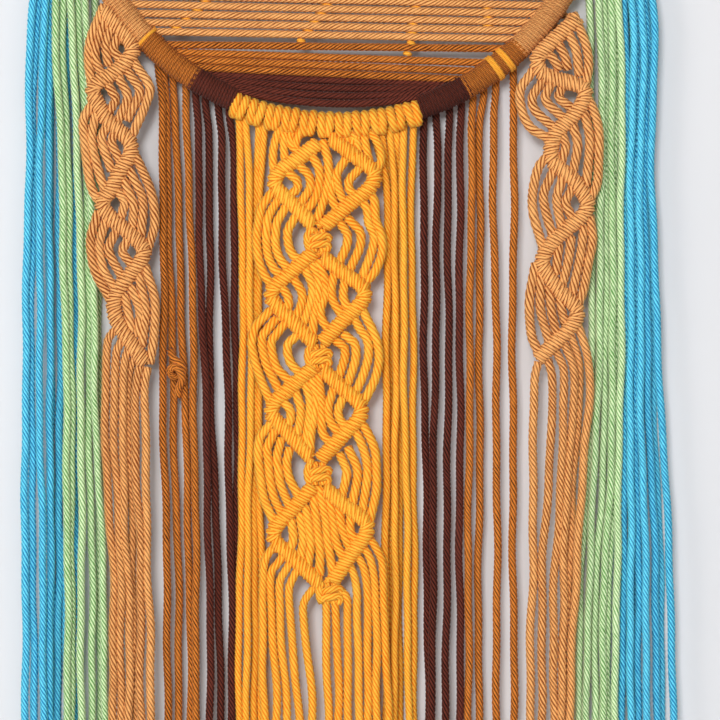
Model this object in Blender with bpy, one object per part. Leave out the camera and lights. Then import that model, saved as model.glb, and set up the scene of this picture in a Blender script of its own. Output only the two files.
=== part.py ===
"""A macrame wall hanging on a steel hoop: 250 mm across the hoop, about 700 mm tall.

The hoop is bound with cotton cord in bands of colour. Rows of the same cords cross its
inside, knotted panels hang under it at the middle and on both sides, and straight cords
hang between and beside them down to a trimmed edge.

Places in the tables are in millimetres: x to the right as seen from the front, drop down
from the hoop's centre, and y to the back. Angles are in degrees round the hoop from its
lowest point, positive to the right. The front faces -Y, and the origin is where the hook
holds the hoop, under the top of its wire.
"""

import math

import bmesh
import bpy
from mathutils import Vector

MM = 0.001

# the hoop and what is wound on it
HOOP_RADIUS = 125.0
WIRE_RADIUS = 1.5
WOUND_RADIUS = 5.45
INNER_RADIUS = HOOP_RADIUS - WOUND_RADIUS
ROW_HELD = 121.8  # radius at which a row across the hoop ends, inside the winding
ROW_ROOM = 0.4
HEADING_CENTRE = 126.2  # the looped headings sit a little low on the wire
HEADING_RADIUS = 4.9
HEADING_GROOVE = 0.7
BORE_RADIUS = 1.85
HOOP_STATIONS = 40
HOOP_CENTRE = -(HOOP_RADIUS - WIRE_RADIUS)
STATION_STEP = 9.0
SQUARE_END = 0.6  # degrees of a band's first and last stretch, which square its ends
END_ROOM = 0.16  # degrees between the end of one band and the next

# the cords
CORD = 3.2  # side of a strand's section, a little less than the 3.5 mm rope
# behind the hoop: depth and radius of a group's root strip, and depth of its cords there
ROOTS = {"inner": (7.7, 1.8, 7.7), "blue": (9.8, 4.0, 12.0)}
ROOT_PAST = 0.7  # degrees of root strip past its last cord
CLEAR_RADIUS = 132.5  # from the hoop's centre, past the winding
SWING = 14.0  # drop over which a strand comes from behind the hoop to its own layer
LAYER = {"front": 2.0, "middle": 5.5, "rear": 12.0}
TRIM_DROP = 575.0
OUTER_FROM = 60.0  # degrees round the hoop, where cords begin to hang outside it
TOP_DROP = 68.0  # where those outer cords have come clear of it
LEVELS = (262.5, 366.5)  # drops at which the tables give a strand's x

# the knotted bars
BAR_RADIUS = 3.15
FIRST_BAR_RADIUS = 2.6
BAR_GROOVE = 0.55
BAR_RIDGES = 3
KNOT_HALF = 5.0
KNOT_RADIUS = 4.1
KNOT_GROOVE = 0.8
ORANGE_DEPTH = -1.3
TAN_DEPTH = -3.0
BEHIND_BY = 3.4
STAGGER = 0.2  # in depth, between strands that cross or meet
WORKING = (0.1, 0.3, 0.5, 0.7, 0.9)  # where the five working strands cross a bar

COLOURS = {
    "steel": (0.60, 0.60, 0.61),
    "orange": (0.96, 0.38, 0.012),
    "dark_brown": (0.068, 0.020, 0.016),
    "rust": (0.48, 0.13, 0.014),
    "tan": (0.60, 0.24, 0.065),
    "green": (0.38, 0.62, 0.20),
    "blue": (0.06, 0.45, 0.72),
}

# bands round the hoop: colour, left start, left end, right start, right end
BANDS = (
    ("dark_brown", -32.8, -23.2, 18.2, 29.0),
    ("rust", -46.5, -32.8, 29.0, 43.3),
    ("tan", -68.0, -46.5, 43.3, 64.0),
    ("green", -88.0, -68.0, 64.0, 84.0),
    ("blue", -175.5, -88.0, 84.0, 175.5),
)

# rows across the hoop: colour, count, drop of the lowest and the highest at the left end,
# then at the right end, and how far the lowest and the highest sag between
ROWS = (
    ("dark_brown", 4, 109.2, 102.6, 112.8, 106.4, 4.1, 0.5),
    ("rust", 4, 100.2, 89.5, 103.7, 91.2, 0.0, 0.0),
    ("tan", 9, 82.3, 48.4, 87.1, 54.9, 0.0, 0.0),
    ("green", 10, 43.9, 5.4, 51.0, 14.0, 0.0, 0.0),
    ("blue", 27, 1.0, -117.6, 9.5, -117.2, 0.0, 0.0),
)

# orange headings on the hoop: node, first angle, last angle, ridges
HEADINGS = {
    "cords_orange_left": (-23.2, -15.67, 4),
    "panel_orange": (-15.67, 6.9, 12),
    "cords_orange_right": (6.9, 18.2, 6),
}

HEADING_EDGE = 12.6  # x of the last strand under the middle panel's heading

# the middle panel's bars, four diamonds down each half:
# inner top x, drop, tip x, drop, inner end x, drop
DIAMONDS = {
    "left": (
        (-8.0, 133.5, -33.0, 155.5, -11.0, 179.0),
        (-11.0, 185.5, -34.5, 211.0, -9.5, 233.0),
        (-11.0, 240.5, -34.5, 264.0, -10.0, 288.0),
        (-11.0, 298.5, -32.5, 323.5, -4.5, 346.5),
    ),
    "right": (
        (-5.0, 133.5, 18.5, 157.0, -7.0, 178.0),
        (-8.0, 186.5, 15.5, 209.0, -8.0, 231.5),
        (-7.0, 241.5, 14.0, 264.0, -8.0, 287.0),
        (-6.0, 298.5, 17.0, 321.0, -4.0, 344.5),
    ),
}
# how far the strands stand out between bars, the longest strand first
BULGE_OUT = (7.0, 6.5, 6.0, 5.5)
BULGE_IN = (2.0, 3.5, 4.0, 3.5)
BULGE_TAN = (5.0, 4.2, 3.4, 2.4)

# square knots between the halves: x, drop
SQUARE_KNOTS = ((-9.4, 182.0), (-8.3, 236.6), (-7.9, 293.0), (-2.6, 349.0))

# the side panels' zigzag: x, drop of each turn
ZIGZAGS = {
    "left": (
        (-113.6, 72.0), (-95.6, 94.2), (-117.5, 112.5), (-95.0, 138.0),
        (-114.5, 163.5), (-89.5, 188.5), (-108.5, 210.0), (-89.5, 240.0),
    ),
    "right": (
        (110.8, 75.8), (93.9, 97.2), (119.0, 113.0), (98.5, 139.5),
        (120.0, 163.0), (96.5, 189.5), (117.0, 218.0), (93.5, 240.5),
    ),
}

# ends that hang from the panels: x and drop where they leave it, x at two drops below,
# and whether they hang behind the others
MIDDLE_ENDS = (
    (-29.7, 325.8, -35.7, -34.1, False),
    (-24.1, 330.4, -31.6, -29.1, False),
    (-18.5, 335.0, -26.8, -24.0, False),
    (-12.9, 339.6, -21.4, -18.6, False),
    (-7.3, 344.2, -15.1, -12.0, False),
    (-4.6, 349.0, -4.9, -4.4, False),
    (-0.9, 349.0, -0.85, 0.7, False),
    (-1.9, 342.2, 3.9, 5.2, False),
    (2.3, 337.5, 9.3, 9.9, False),
    (6.5, 332.8, 14.3, 15.0, False),
    (10.7, 328.0, 18.5, 19.1, False),
    (14.9, 323.4, 22.6, 23.5, False),
)
MIDDLE_DROPS = (357.0, 409.0)
SIDE_ENDS = {
    "left": (
        (-106.6, 213.0, -109.5, -105.8, False),
        (-102.8, 219.0, -105.3, -102.2, False),
        (-99.0, 225.0, -101.7, -98.6, False),
        (-95.2, 231.0, -99.1, -96.3, True),
        (-91.4, 237.0, -95.5, -92.8, False),
        (-89.5, 239.0, -91.2, -88.8, False),
    ),
    "right": (
        (93.6, 239.5, 93.0, 91.7, False),
        (95.9, 238.3, 101.2, 96.5, False),
        (100.6, 233.8, 106.8, 102.3, False),
        (105.3, 229.3, 110.9, 106.2, False),
        (110.0, 224.8, 114.1, 108.3, True),
        (114.7, 220.3, 118.7, 111.1, False),
    ),
}
SIDE_DROPS = (262.5, 366.5)
SIDE_ROOT = (45.6, 56.0)  # degrees round the hoop that a side panel is held along

# hanging cords: root angle (x for the orange ones), x where one comes clear of the hoop,
# x at the two LEVELS, layer
HANGING = {
    "cords_blue_left": (
        (-103.5, -144.0, -148.0, -148.0, "front"),
        (-101.0, -142.0, -145.5, -144.5, "middle"),
        (-98.5, -138.5, -141.0, -139.5, "front"),
        (-96.0, -136.8, -137.0, -137.0, "rear"),
        (-93.5, -136.5, -136.5, -136.5, "middle"),
        (-91.0, -132.8, -132.6, -133.4, "rear"),
        (-88.5, -129.2, -129.0, -129.6, "rear"),
        (-86.0, -125.4, -124.8, -125.2, "rear"),
    ),
    "cords_green_left": (
        (-81.5, -133.5, -128.5, -128.0, "front"),
        (-79.0, -130.5, -126.5, -126.5, "middle"),
        (-76.5, -126.5, -121.5, -121.5, "front"),
        (-74.0, -123.0, -118.0, -116.5, "middle"),
        (-71.5, -119.5, -114.5, -110.5, "front"),
        (-69.0, -116.0, -114.0, -113.5, "rear"),
    ),
    "cords_rust_left": (
        (-43.0, -82.5, -82.5, -80.5, "front"),
        (-41.0, -80.5, -78.0, -75.5, "middle"),
        (-38.8, -76.0, -72.5, -70.0, "middle"),
        (-35.3, -70.0, -68.0, -67.0, "front"),
    ),
    "cords_dark_left": (
        (-32.7, -66.0, -62.5, -60.5, "front"),
        (-30.2, -61.0, -60.0, -56.0, "middle"),
        (-27.0, -55.0, -52.0, -50.2, "front"),
        (-24.3, -49.5, -48.0, -48.0, "middle"),
    ),
    "cords_orange_left": (
        (-47.0, -45.5, -45.0, -46.6, "front"),
        (-43.4, -41.4, -41.3, -43.0, "front"),
        (-40.2, -39.5, -39.5, -39.5, "middle"),
        (-37.2, -35.8, -35.5, -36.0, "middle"),
    ),
    "cords_orange_right": (
        (17.8, 23.2, 23.0, 23.0, "middle"),
        (21.0, 25.0, 25.0, 25.0, "rear"),
        (24.8, 27.0, 27.5, 27.2, "middle"),
        (28.0, 29.4, 29.4, 29.4, "rear"),
        (31.4, 31.0, 32.0, 33.5, "front"),
        (36.0, 35.2, 36.0, 36.4, "middle"),
    ),
    "cords_dark_right": (
        (19.2, 40.8, 41.5, 43.0, "middle"),
        (22.0, 47.5, 46.0, 45.0, "front"),
        (25.2, 52.5, 52.5, 51.5, "front"),
        (28.1, 58.0, 58.0, 58.0, "front"),
    ),
    "cords_rust_right": (
        (31.0, 63.5, 62.5, 62.0, "front"),
        (33.8, 67.5, 67.5, 67.0, "middle"),
        (37.0, 74.0, 75.5, 75.5, "front"),
        (42.0, 83.5, 83.0, 83.5, "front"),
    ),
    "cords_green_right": (
        (65.0, 119.6, 120.5, 114.8, "middle"),
        (67.5, 124.0, 123.0, 118.5, "front"),
        (70.0, 126.5, 127.0, 122.5, "middle"),
        (72.5, 129.5, 130.3, 126.0, "front"),
        (75.0, 131.5, 132.0, 128.5, "middle"),
        (77.5, 133.5, 134.0, 132.0, "front"),
    ),
    "cords_blue_right": (
        (82.0, 136.5, 137.0, 135.5, "middle"),
        (84.5, 139.5, 139.0, 139.0, "front"),
        (87.0, 140.0, 140.5, 140.5, "rear"),
        (89.5, 141.5, 142.0, 143.0, "middle"),
        (92.0, 144.0, 144.0, 146.5, "front"),
        (94.5, 146.0, 148.0, 151.5, "middle"),
        (97.0, 148.0, 151.0, 154.5, "rear"),
        (99.5, 149.0, 153.5, 158.5, "front"),
    ),
}


def at(x, drop, y=0.0):
    """The point in metres of a place given in the tables' millimetres."""
    return Vector((x, y, HOOP_CENTRE - drop)) * MM


def on_hoop(angle, radius=HOOP_RADIUS, y=0.0):
    """The point at an angle round the hoop, a radius from its centre."""
    turn = math.radians(angle)
    return at(radius * math.sin(turn), radius * math.cos(turn), y)


def spread(first, last, count):
    """Evenly spaced numbers from first to last, both included."""
    return [first + (last - first) * i / (count - 1) for i in range(count)]


def material(name):
    """The Principled material of one colour of cord, or of the steel."""
    made = bpy.data.materials.get(name)
    if made is None:
        made = bpy.data.materials.new(name)
        made.use_nodes = True
        shader = made.node_tree.nodes["Principled BSDF"]
        shader.inputs["Base Color"].default_value = (*COLOURS[name], 1.0)
        steel = name == "steel"
        shader.inputs["Metallic"].default_value = 1.0 if steel else 0.0
        shader.inputs["Roughness"].default_value = 0.35 if steel else 0.9
        made.diffuse_color = (*COLOURS[name], 1.0)
    return made


def cord_section():
    """The triangle that a hanging strand is drawn along, of one millimetre's radius."""
    curve = bpy.data.curves.new("cord_section", "CURVE")
    curve.dimensions = "2D"
    spline = curve.splines.new("POLY")
    spline.points.add(2)
    spline.use_cyclic_u = True
    for number, point in enumerate(spline.points):
        turn = math.tau * number / 3
        point.co = (MM * math.cos(turn), MM * math.sin(turn), 0.0, 1.0)
    made = bpy.data.objects.new("cord_section", curve)
    made.hide_render = True
    made.display_type = "WIRE"
    helpers.objects.link(made)
    return made


def tube(points, radii, sides):
    """A closed faceted tube through points, its radius in mm at each, as a mesh object."""
    curve = bpy.data.curves.new("tube", "CURVE")
    curve.dimensions = "3D"
    tilt = 0.0
    if sides == 3:
        curve.bevel_mode = "OBJECT"
        curve.bevel_object = triangle
        # the flat of the section is turned to the front
        lead = points[1].x - points[0].x
        tilt = math.pi if lead > 0 else 0.0 if lead < 0 else -math.pi / 2
    else:
        curve.bevel_depth = MM
        curve.bevel_resolution = sides // 2 - 2
    curve.use_fill_caps = True
    spline = curve.splines.new("POLY")
    spline.points.add(len(points) - 1)
    for point, place, radius in zip(spline.points, points, radii):
        point.co = (*place, 1.0)
        point.radius = radius
        point.tilt = tilt
    rough = bpy.data.objects.new("tube", curve)
    helpers.objects.link(rough)
    bpy.context.view_layer.update()
    mesh = bpy.data.meshes.new_from_object(
        rough.evaluated_get(bpy.context.evaluated_depsgraph_get())
    )
    weld = bmesh.new()
    weld.from_mesh(mesh)
    bmesh.ops.remove_doubles(weld, verts=weld.verts, dist=0.00001)
    bmesh.ops.recalc_face_normals(weld, faces=weld.faces)
    weld.to_mesh(mesh)
    weld.free()
    made = bpy.data.objects.new("tube", mesh)
    made.matrix_world = rough.matrix_world
    bpy.data.objects.remove(rough)
    bpy.data.curves.remove(curve)
    return made


def strand(points):
    """A cord of three-sided section, one flat to the front."""
    return tube(points, [CORD / math.sqrt(3)] * len(points), 3)


def ridged(points, radius, groove, sides=6):
    """A row of wraps along the points; every second station stands out as a ridge."""
    radii = [radius if i % 2 else radius - groove for i in range(len(points))]
    return tube(points, radii, sides)


def zigzag(bars, radii):
    """One holding cord's run of knotted bars, each with its own radius, turned at their ends."""
    points, thickness = [], []
    for (start, end), radius in zip(bars, radii):
        for number, share in enumerate(spread(0.0, 1.0, 2 * BAR_RIDGES + 1)):
            place = start.lerp(end, share)
            if points and (place - points[-1]).length < MM:
                continue
            points.append(place)
            thickness.append(radius if number % 2 else radius - BAR_GROOVE)
    return tube(points, thickness, 6)


def arc_tube(first, last, radius, sides, y=0.0):
    """A tube that follows the hoop between two angles."""
    count = max(2, math.ceil((last - first - 2 * SQUARE_END) / STATION_STEP) + 1)
    angles = [first, *spread(first + SQUARE_END, last - SQUARE_END, count), last]
    points = [on_hoop(angle, y=y) for angle in angles]
    return tube(points, [radius] * len(points), sides)


def fuse(name, colour, pieces, bored=False):
    """One solid of all the pieces, with room for the wire where it is bored."""
    body, *others = pieces
    body.name = body.data.name = name
    parts.objects.link(body)
    body.parent = hanging
    body.data.materials.append(material(colour))
    joined = bpy.data.collections.new(name + "_pieces")
    helpers.children.link(joined)
    for number, other in enumerate(others):
        other.name = f"{name}_piece_{number:02d}"
        other.hide_render = True
        other.display_type = "WIRE"
        joined.objects.link(other)
    fused.append((body, joined, bored))


def join_up(body, joined, bored):
    """The modifiers that make one solid of a body and its pieces."""
    union = body.modifiers.new("knotted together", "BOOLEAN")
    union.operation = "UNION"
    union.operand_type = "COLLECTION"
    union.collection = joined
    union.solver = "EXACT"
    if bored:
        cut = body.modifiers.new("room for the wire", "BOOLEAN")
        cut.operation = "DIFFERENCE"
        cut.object = wire_room
        cut.solver = "EXACT"


def hoop(name, wire_radius, collection):
    """A ring of wire round the hoop's circle, upright and facing the front."""
    bpy.ops.mesh.primitive_torus_add(
        major_segments=HOOP_STATIONS, minor_segments=6,
        major_radius=HOOP_RADIUS * MM, minor_radius=wire_radius * MM,
        location=at(0, 0), rotation=(math.pi / 2, 0, 0),
    )
    made = bpy.context.object
    made.name = made.data.name = name
    for used in list(made.users_collection):
        used.objects.unlink(made)
    collection.objects.link(made)
    made.data.shade_smooth()
    return made


def kept(drop, low_angle, high_angle):
    """The drop of a row's end, held within its own band of the hoop."""
    lowest = INNER_RADIUS * math.cos(math.radians(low_angle)) - CORD / 2 - ROW_ROOM
    highest = ROW_HELD * math.cos(math.radians(high_angle)) + CORD / 2 + ROW_ROOM
    return min(max(drop, highest), lowest)


def winding(colour, left_first, left_last, right_first, right_last):
    """Both sleeves of one colour on the hoop, and the rows of that colour between them."""
    inset = END_ROOM / 2
    pieces = [
        arc_tube(left_first + inset, left_last - inset, WOUND_RADIUS, 8),
        arc_tube(right_first + inset, right_last - inset, WOUND_RADIUS, 8),
    ]
    for name, count, left_low, left_high, right_low, right_high, sag_low, sag_high in ROWS:
        if name != colour:
            continue
        lines = zip(
            spread(left_low, left_high, count),
            spread(right_low, right_high, count),
            spread(sag_low, sag_high, count),
        )
        for number, (left, right, sag) in enumerate(lines):
            y = STAGGER * (number - 1.5) if sag else STAGGER * (1 if number % 2 else -1)
            left = kept(left, left_last, left_first)
            right = kept(right, right_first, right_last)
            points = [at(-math.sqrt(ROW_HELD**2 - left**2), left, y)]
            if sag:
                start = at(-math.sqrt(INNER_RADIUS**2 - left**2), left, y)
                end = at(math.sqrt(INNER_RADIUS**2 - right**2), right, y)
                for share in spread(0.0, 1.0, 5):
                    low = Vector((0, 0, sag * 4 * share * (1 - share) * MM))
                    points.append(start.lerp(end, share) - low)
            points.append(at(math.sqrt(ROW_HELD**2 - right**2), right, y))
            pieces.append(strand(points))
    fuse("winding_" + colour, colour, pieces, bored=True)


def heading(name):
    """The row of looped cords on the hoop that one orange group hangs from."""
    first, last, ridges = HEADINGS[name]
    angles = spread(first + END_ROOM / 2, last - END_ROOM / 2, 2 * ridges + 1)
    points = [on_hoop(angle, HEADING_CENTRE) for angle in angles]
    return ridged(points, HEADING_RADIUS, HEADING_GROOVE, sides=8)


def trim(number):
    """The drop of a cord's cut end: level, but for the few millimetres of a hand's cut."""
    return TRIM_DROP + 2.5 * math.sin(2.4 * number)


def hanging_strand(number, root, x_top, x_levels, layer, from_heading, behind):
    """One straight cord from the hoop down to the trimmed edge."""
    depth = LAYER[layer]
    if from_heading:
        root_depth = LAYER["front"]
        start = math.sqrt((HOOP_RADIUS + 3.0) ** 2 - root**2)
        points = [at(root, start, root_depth), at(root, start + 4.0, root_depth)]
        if layer != "front":
            points.append(at(root, start + SWING, depth))
    else:
        root_x = HOOP_RADIUS * math.sin(math.radians(root))
        root_drop = HOOP_RADIUS * math.cos(math.radians(root))
        if OUTER_FROM > abs(root):
            clear = math.sqrt(CLEAR_RADIUS**2 - root_x**2)
            points = [
                at(root_x, root_drop, behind),
                at(root_x, clear, behind),
                at(x_top, clear + SWING, depth),
            ]
        else:
            root_at, top_at = at(root_x, root_drop, behind), at(x_top, TOP_DROP, depth)
            half_way = root_at.lerp(top_at, 0.55)
            half_way.y = behind * MM
            points = [root_at, half_way, top_at]
    points += [at(x, drop, depth) for x, drop in zip(x_levels, LEVELS)]
    points.append(at(x_levels[-1], trim(number), depth))
    return strand(points)


def hanging_cords(name, colour):
    """A group of straight cords, fused at the heading or the root strip they hang from."""
    rows = HANGING[name]
    from_heading = name in HEADINGS
    depth, radius, behind = ROOTS.get(colour, ROOTS["inner"])
    if from_heading:
        pieces = [heading(name)]
    else:
        first, last = sorted((rows[0][0], rows[-1][0]))
        pieces = [arc_tube(first - ROOT_PAST, last + ROOT_PAST, radius, 6, depth)]
    for number, (root, x_top, *x_levels, layer) in enumerate(rows):
        pieces.append(
            hanging_strand(number, root, x_top, x_levels, layer, from_heading, behind)
        )
    fuse(name, colour, pieces, bored=from_heading)


def bowed(start, end, side, bulge):
    """A strand from one bar to the next, bowed out to one side."""
    middle = (start + end) / 2 + Vector((side * bulge * MM, 0, 0))
    back = Vector((0, STAGGER * MM, 0))
    return strand([start - back, middle - back, end + back])


def between(upper, lower, side, bulges):
    """The strands from a bar to the one below it; they turn round its open side."""
    made = []
    for share, bulge in zip(WORKING, bulges):
        start = upper[0].lerp(upper[1], share)
        end = lower[0].lerp(lower[1], 1.0 - share)
        made.append(bowed(start, end, side, bulge))
    return made


def panel_end(number, x, drop, below, drops, depth, behind):
    """A free end from the panel's last knots to the trimmed edge."""
    y = depth + (BEHIND_BY if behind else 0.0)
    points = [at(x, drop, depth)]
    if behind:
        points.append(at(x, drop + 4.0, depth))
    points += [at(low_x, low, y) for low_x, low in zip(below, drops)]
    points.append(at(below[-1], trim(number), y))
    return strand(points)


def panel_middle():
    """The orange panel: its heading, four diamonds of bars, square knots and ends."""
    pieces = [heading("panel_orange")]
    for half, side in (("left", -1), ("right", 1)):
        bars = []
        y = ORANGE_DEPTH + side * STAGGER
        for top_x, top, tip_x, tip, end_x, end in DIAMONDS[half]:
            top_at, tip_at = at(top_x, top, y), at(tip_x, tip, y)
            bars.append((top_at, tip_at))
            bars.append((tip_at, at(end_x, end, y)))
        pieces.append(zigzag(bars, [BAR_RADIUS] * len(bars)))
        for number, (upper, lower) in enumerate(zip(bars, bars[1:])):
            if number % 2:
                pieces += between(upper, lower, side, BULGE_OUT)
            else:
                pieces += between(upper, lower, -side, BULGE_IN)
        for share in WORKING[1:]:
            foot = bars[0][0].lerp(bars[0][1], share)
            x = min(foot.x / MM, HEADING_EDGE)
            top = math.sqrt((HOOP_RADIUS + 3.0) ** 2 - x**2)
            pieces.append(strand([at(x, top, foot.y / MM), foot]))
    for x, drop in SQUARE_KNOTS:
        offsets = spread(-KNOT_HALF, KNOT_HALF, 5)
        points = [at(x + offset, drop, ORANGE_DEPTH) for offset in offsets]
        pieces.append(ridged(points, KNOT_RADIUS, KNOT_GROOVE))
    for number, (x, drop, *below, behind) in enumerate(MIDDLE_ENDS):
        pieces.append(panel_end(number, x, drop, below, MIDDLE_DROPS, ORANGE_DEPTH, behind))
    fuse("panel_orange", "orange", pieces, bored=True)


def panel_side(half, side):
    """A tan panel: a zigzag of bars under the hoop, held to it from behind."""
    turns = [at(x, drop, TAN_DEPTH) for x, drop in ZIGZAGS[half]]
    bars = list(zip(turns, turns[1:]))
    radii = [FIRST_BAR_RADIUS] + [BAR_RADIUS] * (len(bars) - 1)
    pieces = [zigzag(bars, radii)]
    for number, (upper, lower) in enumerate(zip(bars, bars[1:])):
        outward = side if number % 2 == 0 else -side
        pieces += between(upper, lower, outward, BULGE_TAN)
    depth, radius, behind = ROOTS["inner"]
    first, last = SIDE_ROOT
    pieces.append(arc_tube(*sorted((side * first, side * last)), radius, 6, depth))
    for angle in spread(side * (first + ROOT_PAST), side * (last - ROOT_PAST), 4):
        pieces.append(strand([
            on_hoop(angle, HOOP_RADIUS, behind),
            on_hoop(angle, HOOP_RADIUS + 6.5, behind),
            on_hoop(angle, HOOP_RADIUS + 9.3, 4.6),
            on_hoop(angle, HOOP_RADIUS + 9.0, TAN_DEPTH),
        ]))
    for number, (x, drop, *below, behind) in enumerate(SIDE_ENDS[half]):
        pieces.append(panel_end(number, x, drop, below, SIDE_DROPS, TAN_DEPTH, behind))
    fuse("panel_tan_" + half, "tan", pieces)


for old in list(bpy.data.objects):
    bpy.data.objects.remove(old)

parts = bpy.data.collections.new("macrame_wall_hanging")
helpers = bpy.data.collections.new("helpers")
for collection in (parts, helpers):
    bpy.context.scene.collection.children.link(collection)
hanging = bpy.data.objects.new("hanging", None)
parts.objects.link(hanging)
fused = []
triangle = cord_section()

ring = hoop("ring", WIRE_RADIUS, parts)
ring.data.materials.append(material("steel"))
ring.parent = hanging
wire_room = hoop("wire_room", BORE_RADIUS, helpers)
wire_room.hide_render = True
wire_room.display_type = "WIRE"

for band in BANDS:
    winding(*band)
panel_middle()
panel_side("left", -1)
panel_side("right", 1)
GROUP_COLOURS = {"dark": "dark_brown"}
for group in HANGING:
    shade = group.split("_")[1]
    hanging_cords(group, GROUP_COLOURS.get(shade, shade))
for node in fused:
    join_up(*node)
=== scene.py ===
# %% [markdown]
# # A macrame hanging on a hoop, made of rope
#
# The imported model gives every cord's place as a plain three-sided strand. Here each of those
# strands is made again as what it is: a cotton rope of three twisted plies. A rope could be
# an array along a curve or a displaced tube. A profile carried along a path is used instead,
# because one function then makes straight cords, wraps, knots and loops alike.

import math

import bpy
import numpy as np
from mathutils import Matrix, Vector


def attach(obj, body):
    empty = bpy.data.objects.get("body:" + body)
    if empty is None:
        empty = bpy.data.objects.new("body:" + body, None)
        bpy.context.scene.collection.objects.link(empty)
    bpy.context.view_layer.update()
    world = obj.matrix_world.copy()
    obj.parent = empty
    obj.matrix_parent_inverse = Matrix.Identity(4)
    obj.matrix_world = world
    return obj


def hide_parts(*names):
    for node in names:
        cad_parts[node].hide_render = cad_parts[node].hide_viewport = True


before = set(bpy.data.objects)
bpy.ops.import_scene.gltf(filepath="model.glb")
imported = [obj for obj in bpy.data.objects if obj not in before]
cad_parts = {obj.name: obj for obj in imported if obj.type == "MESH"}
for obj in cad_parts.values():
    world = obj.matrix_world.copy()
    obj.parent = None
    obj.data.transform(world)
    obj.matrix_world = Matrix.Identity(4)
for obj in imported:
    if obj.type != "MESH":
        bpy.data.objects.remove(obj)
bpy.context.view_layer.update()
print("nodes in the frame:", len(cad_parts))

# %% [markdown]
# ## Places
#
# The whole hanging is laid out in millimetres: x to the right, drop down from the hoop's
# centre and y to the back. Angles go round the hoop from its lowest point. One function
# turns such a place into the frame's own coordinates.

# %% Places on the hanging
MM = 0.001
HOOP_RADIUS = 125.0
WIRE_RADIUS = 1.5
HOOP_CENTRE = WIRE_RADIUS - HOOP_RADIUS
print("the hoop's centre is", -HOOP_CENTRE, "mm below its hook")


def place(x, drop, y=0.0):
    """x, drop and depth as points: the drop is taken from the height of the hoop's centre."""
    x, drop, y = np.broadcast_arrays(x, drop, y)
    return np.stack((x, y, HOOP_CENTRE - drop), axis=-1).astype(float)


def on_hoop(angle, radius=HOOP_RADIUS, y=0.0):
    """Points at angles round the hoop: x is radius times sine, drop radius times cosine."""
    turn = np.radians(angle)
    return place(radius * np.sin(turn), radius * np.cos(turn), y)


# %% [markdown]
# ## The rope
#
# Macrame cotton of this kind is three plies of two yarns each, twisted together to 3.8 mm,
# and a yarn comes round again every 15.6 mm. Seen from the front the grooves fall to the
# right on a hanging cord. The section is a ring of twelve points, a crown and a groove for
# each of the six yarns, and it turns as it goes, never quite evenly, as in soft cotton.
# The thin thread that winds the hoop and ties the rows is one yarn, with a plain ring of six.

# %% The rope's section
ROPE_RADIUS = 1.95
LAY = 15.6
YARNS = 6
GROOVE_REACH = 0.81
ROPE_SECTION = np.tile((1.0, GROOVE_REACH), YARNS)
THREAD_SECTION = np.ones(6)
STEP = LAY / 10
# the twist strays either way by about this many radians, anew every so many millimetres
UNEVEN, UNEVEN_EVERY = 0.35, 14.0
chance = np.random.default_rng(11)
twisting = np.random.default_rng(5)
print("points round a rope:", len(ROPE_SECTION), "and one ring every", STEP, "mm")


def smooth_path(points, step=STEP):
    """A smooth line through points, with a place every step.

    Between each two points it is a cubic, whose slope at a point is that from the
    neighbour before it to the neighbour after it.
    """
    points = np.asarray(points, float)
    gaps = np.linalg.norm(np.diff(points, axis=0), axis=1)
    run = np.concatenate(([0.0], np.cumsum(gaps)))
    slope = np.empty_like(points)
    slope[1:-1] = (points[2:] - points[:-2]) / (run[2:] - run[:-2])[:, None]
    slope[0], slope[-1] = (points[1] - points[0]) / gaps[0], (points[-1] - points[-2]) / gaps[-1]
    at = np.linspace(0.0, run[-1], max(3, round(run[-1] / step) + 1))
    i = np.clip(np.searchsorted(run, at, side="right") - 1, 0, len(gaps) - 1)
    t, gap = ((at - run[i]) / gaps[i])[:, None], gaps[i][:, None]
    return (
        (2 * t**3 - 3 * t**2 + 1) * points[i] + (t**3 - 2 * t**2 + t) * gap * slope[i]
        + (3 * t**2 - 2 * t**3) * points[i + 1] + (t**3 - t**2) * gap * slope[i + 1]
    )


def unit(vectors):
    """Each vector divided by its own length."""
    return vectors / np.linalg.norm(vectors, axis=-1, keepdims=True)


def rope(path, across=(0.0, 1.0, 0.0), thickness=1.0, lay=LAY, section=ROPE_SECTION):
    """The surface of a rope along a path, and how far along it each ring lies.

    At each place of the path stands a ring of the section, square to the path. It is turned
    by one whole turn for each lay of path before it, by a slow chance, and by a start that
    falls by chance too. across gives the ring its first direction.
    """
    start = chance.uniform(0.0, 6.0)
    ahead = unit(np.gradient(path, axis=0))
    side = unit(np.cross(ahead, across))
    up = np.cross(side, ahead)
    run = np.concatenate(([0.0], np.cumsum(np.linalg.norm(np.diff(path, axis=0), axis=1))))
    round_it = np.linspace(0.0, 2 * np.pi, len(section), endpoint=False)
    drifts = twisting.normal(0.0, UNEVEN, round(run[-1] / UNEVEN_EVERY) + 2)
    drift = np.interp(run, np.linspace(0.0, run[-1], len(drifts)), drifts)
    angle = (round_it + (2 * np.pi * run / lay + drift)[:, None] + start)[..., None]
    reach = (ROPE_RADIUS * thickness * section)[:, None]
    ring = np.cos(angle) * side[:, None] + np.sin(angle) * up[:, None]
    return path[:, None] + reach * ring, run


# %% [markdown]
# ## From ropes to one piece
#
# A group of cords is one mesh of many ropes. Each rope is a grid of rings, closed by a face
# at either end. The mesh keeps where each point lies round and along its rope, in a UV map,
# and a number for each rope, so that the cotton's pattern can follow the twist.

# %% Making a piece
triangles_made = {}


def new_object(name, mesh, finish):
    """An object of the mesh in its finish, put in the scene."""
    mesh.materials.append(finish)
    piece = bpy.data.objects.new(name, mesh)
    bpy.context.scene.collection.objects.link(piece)
    return piece


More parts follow.
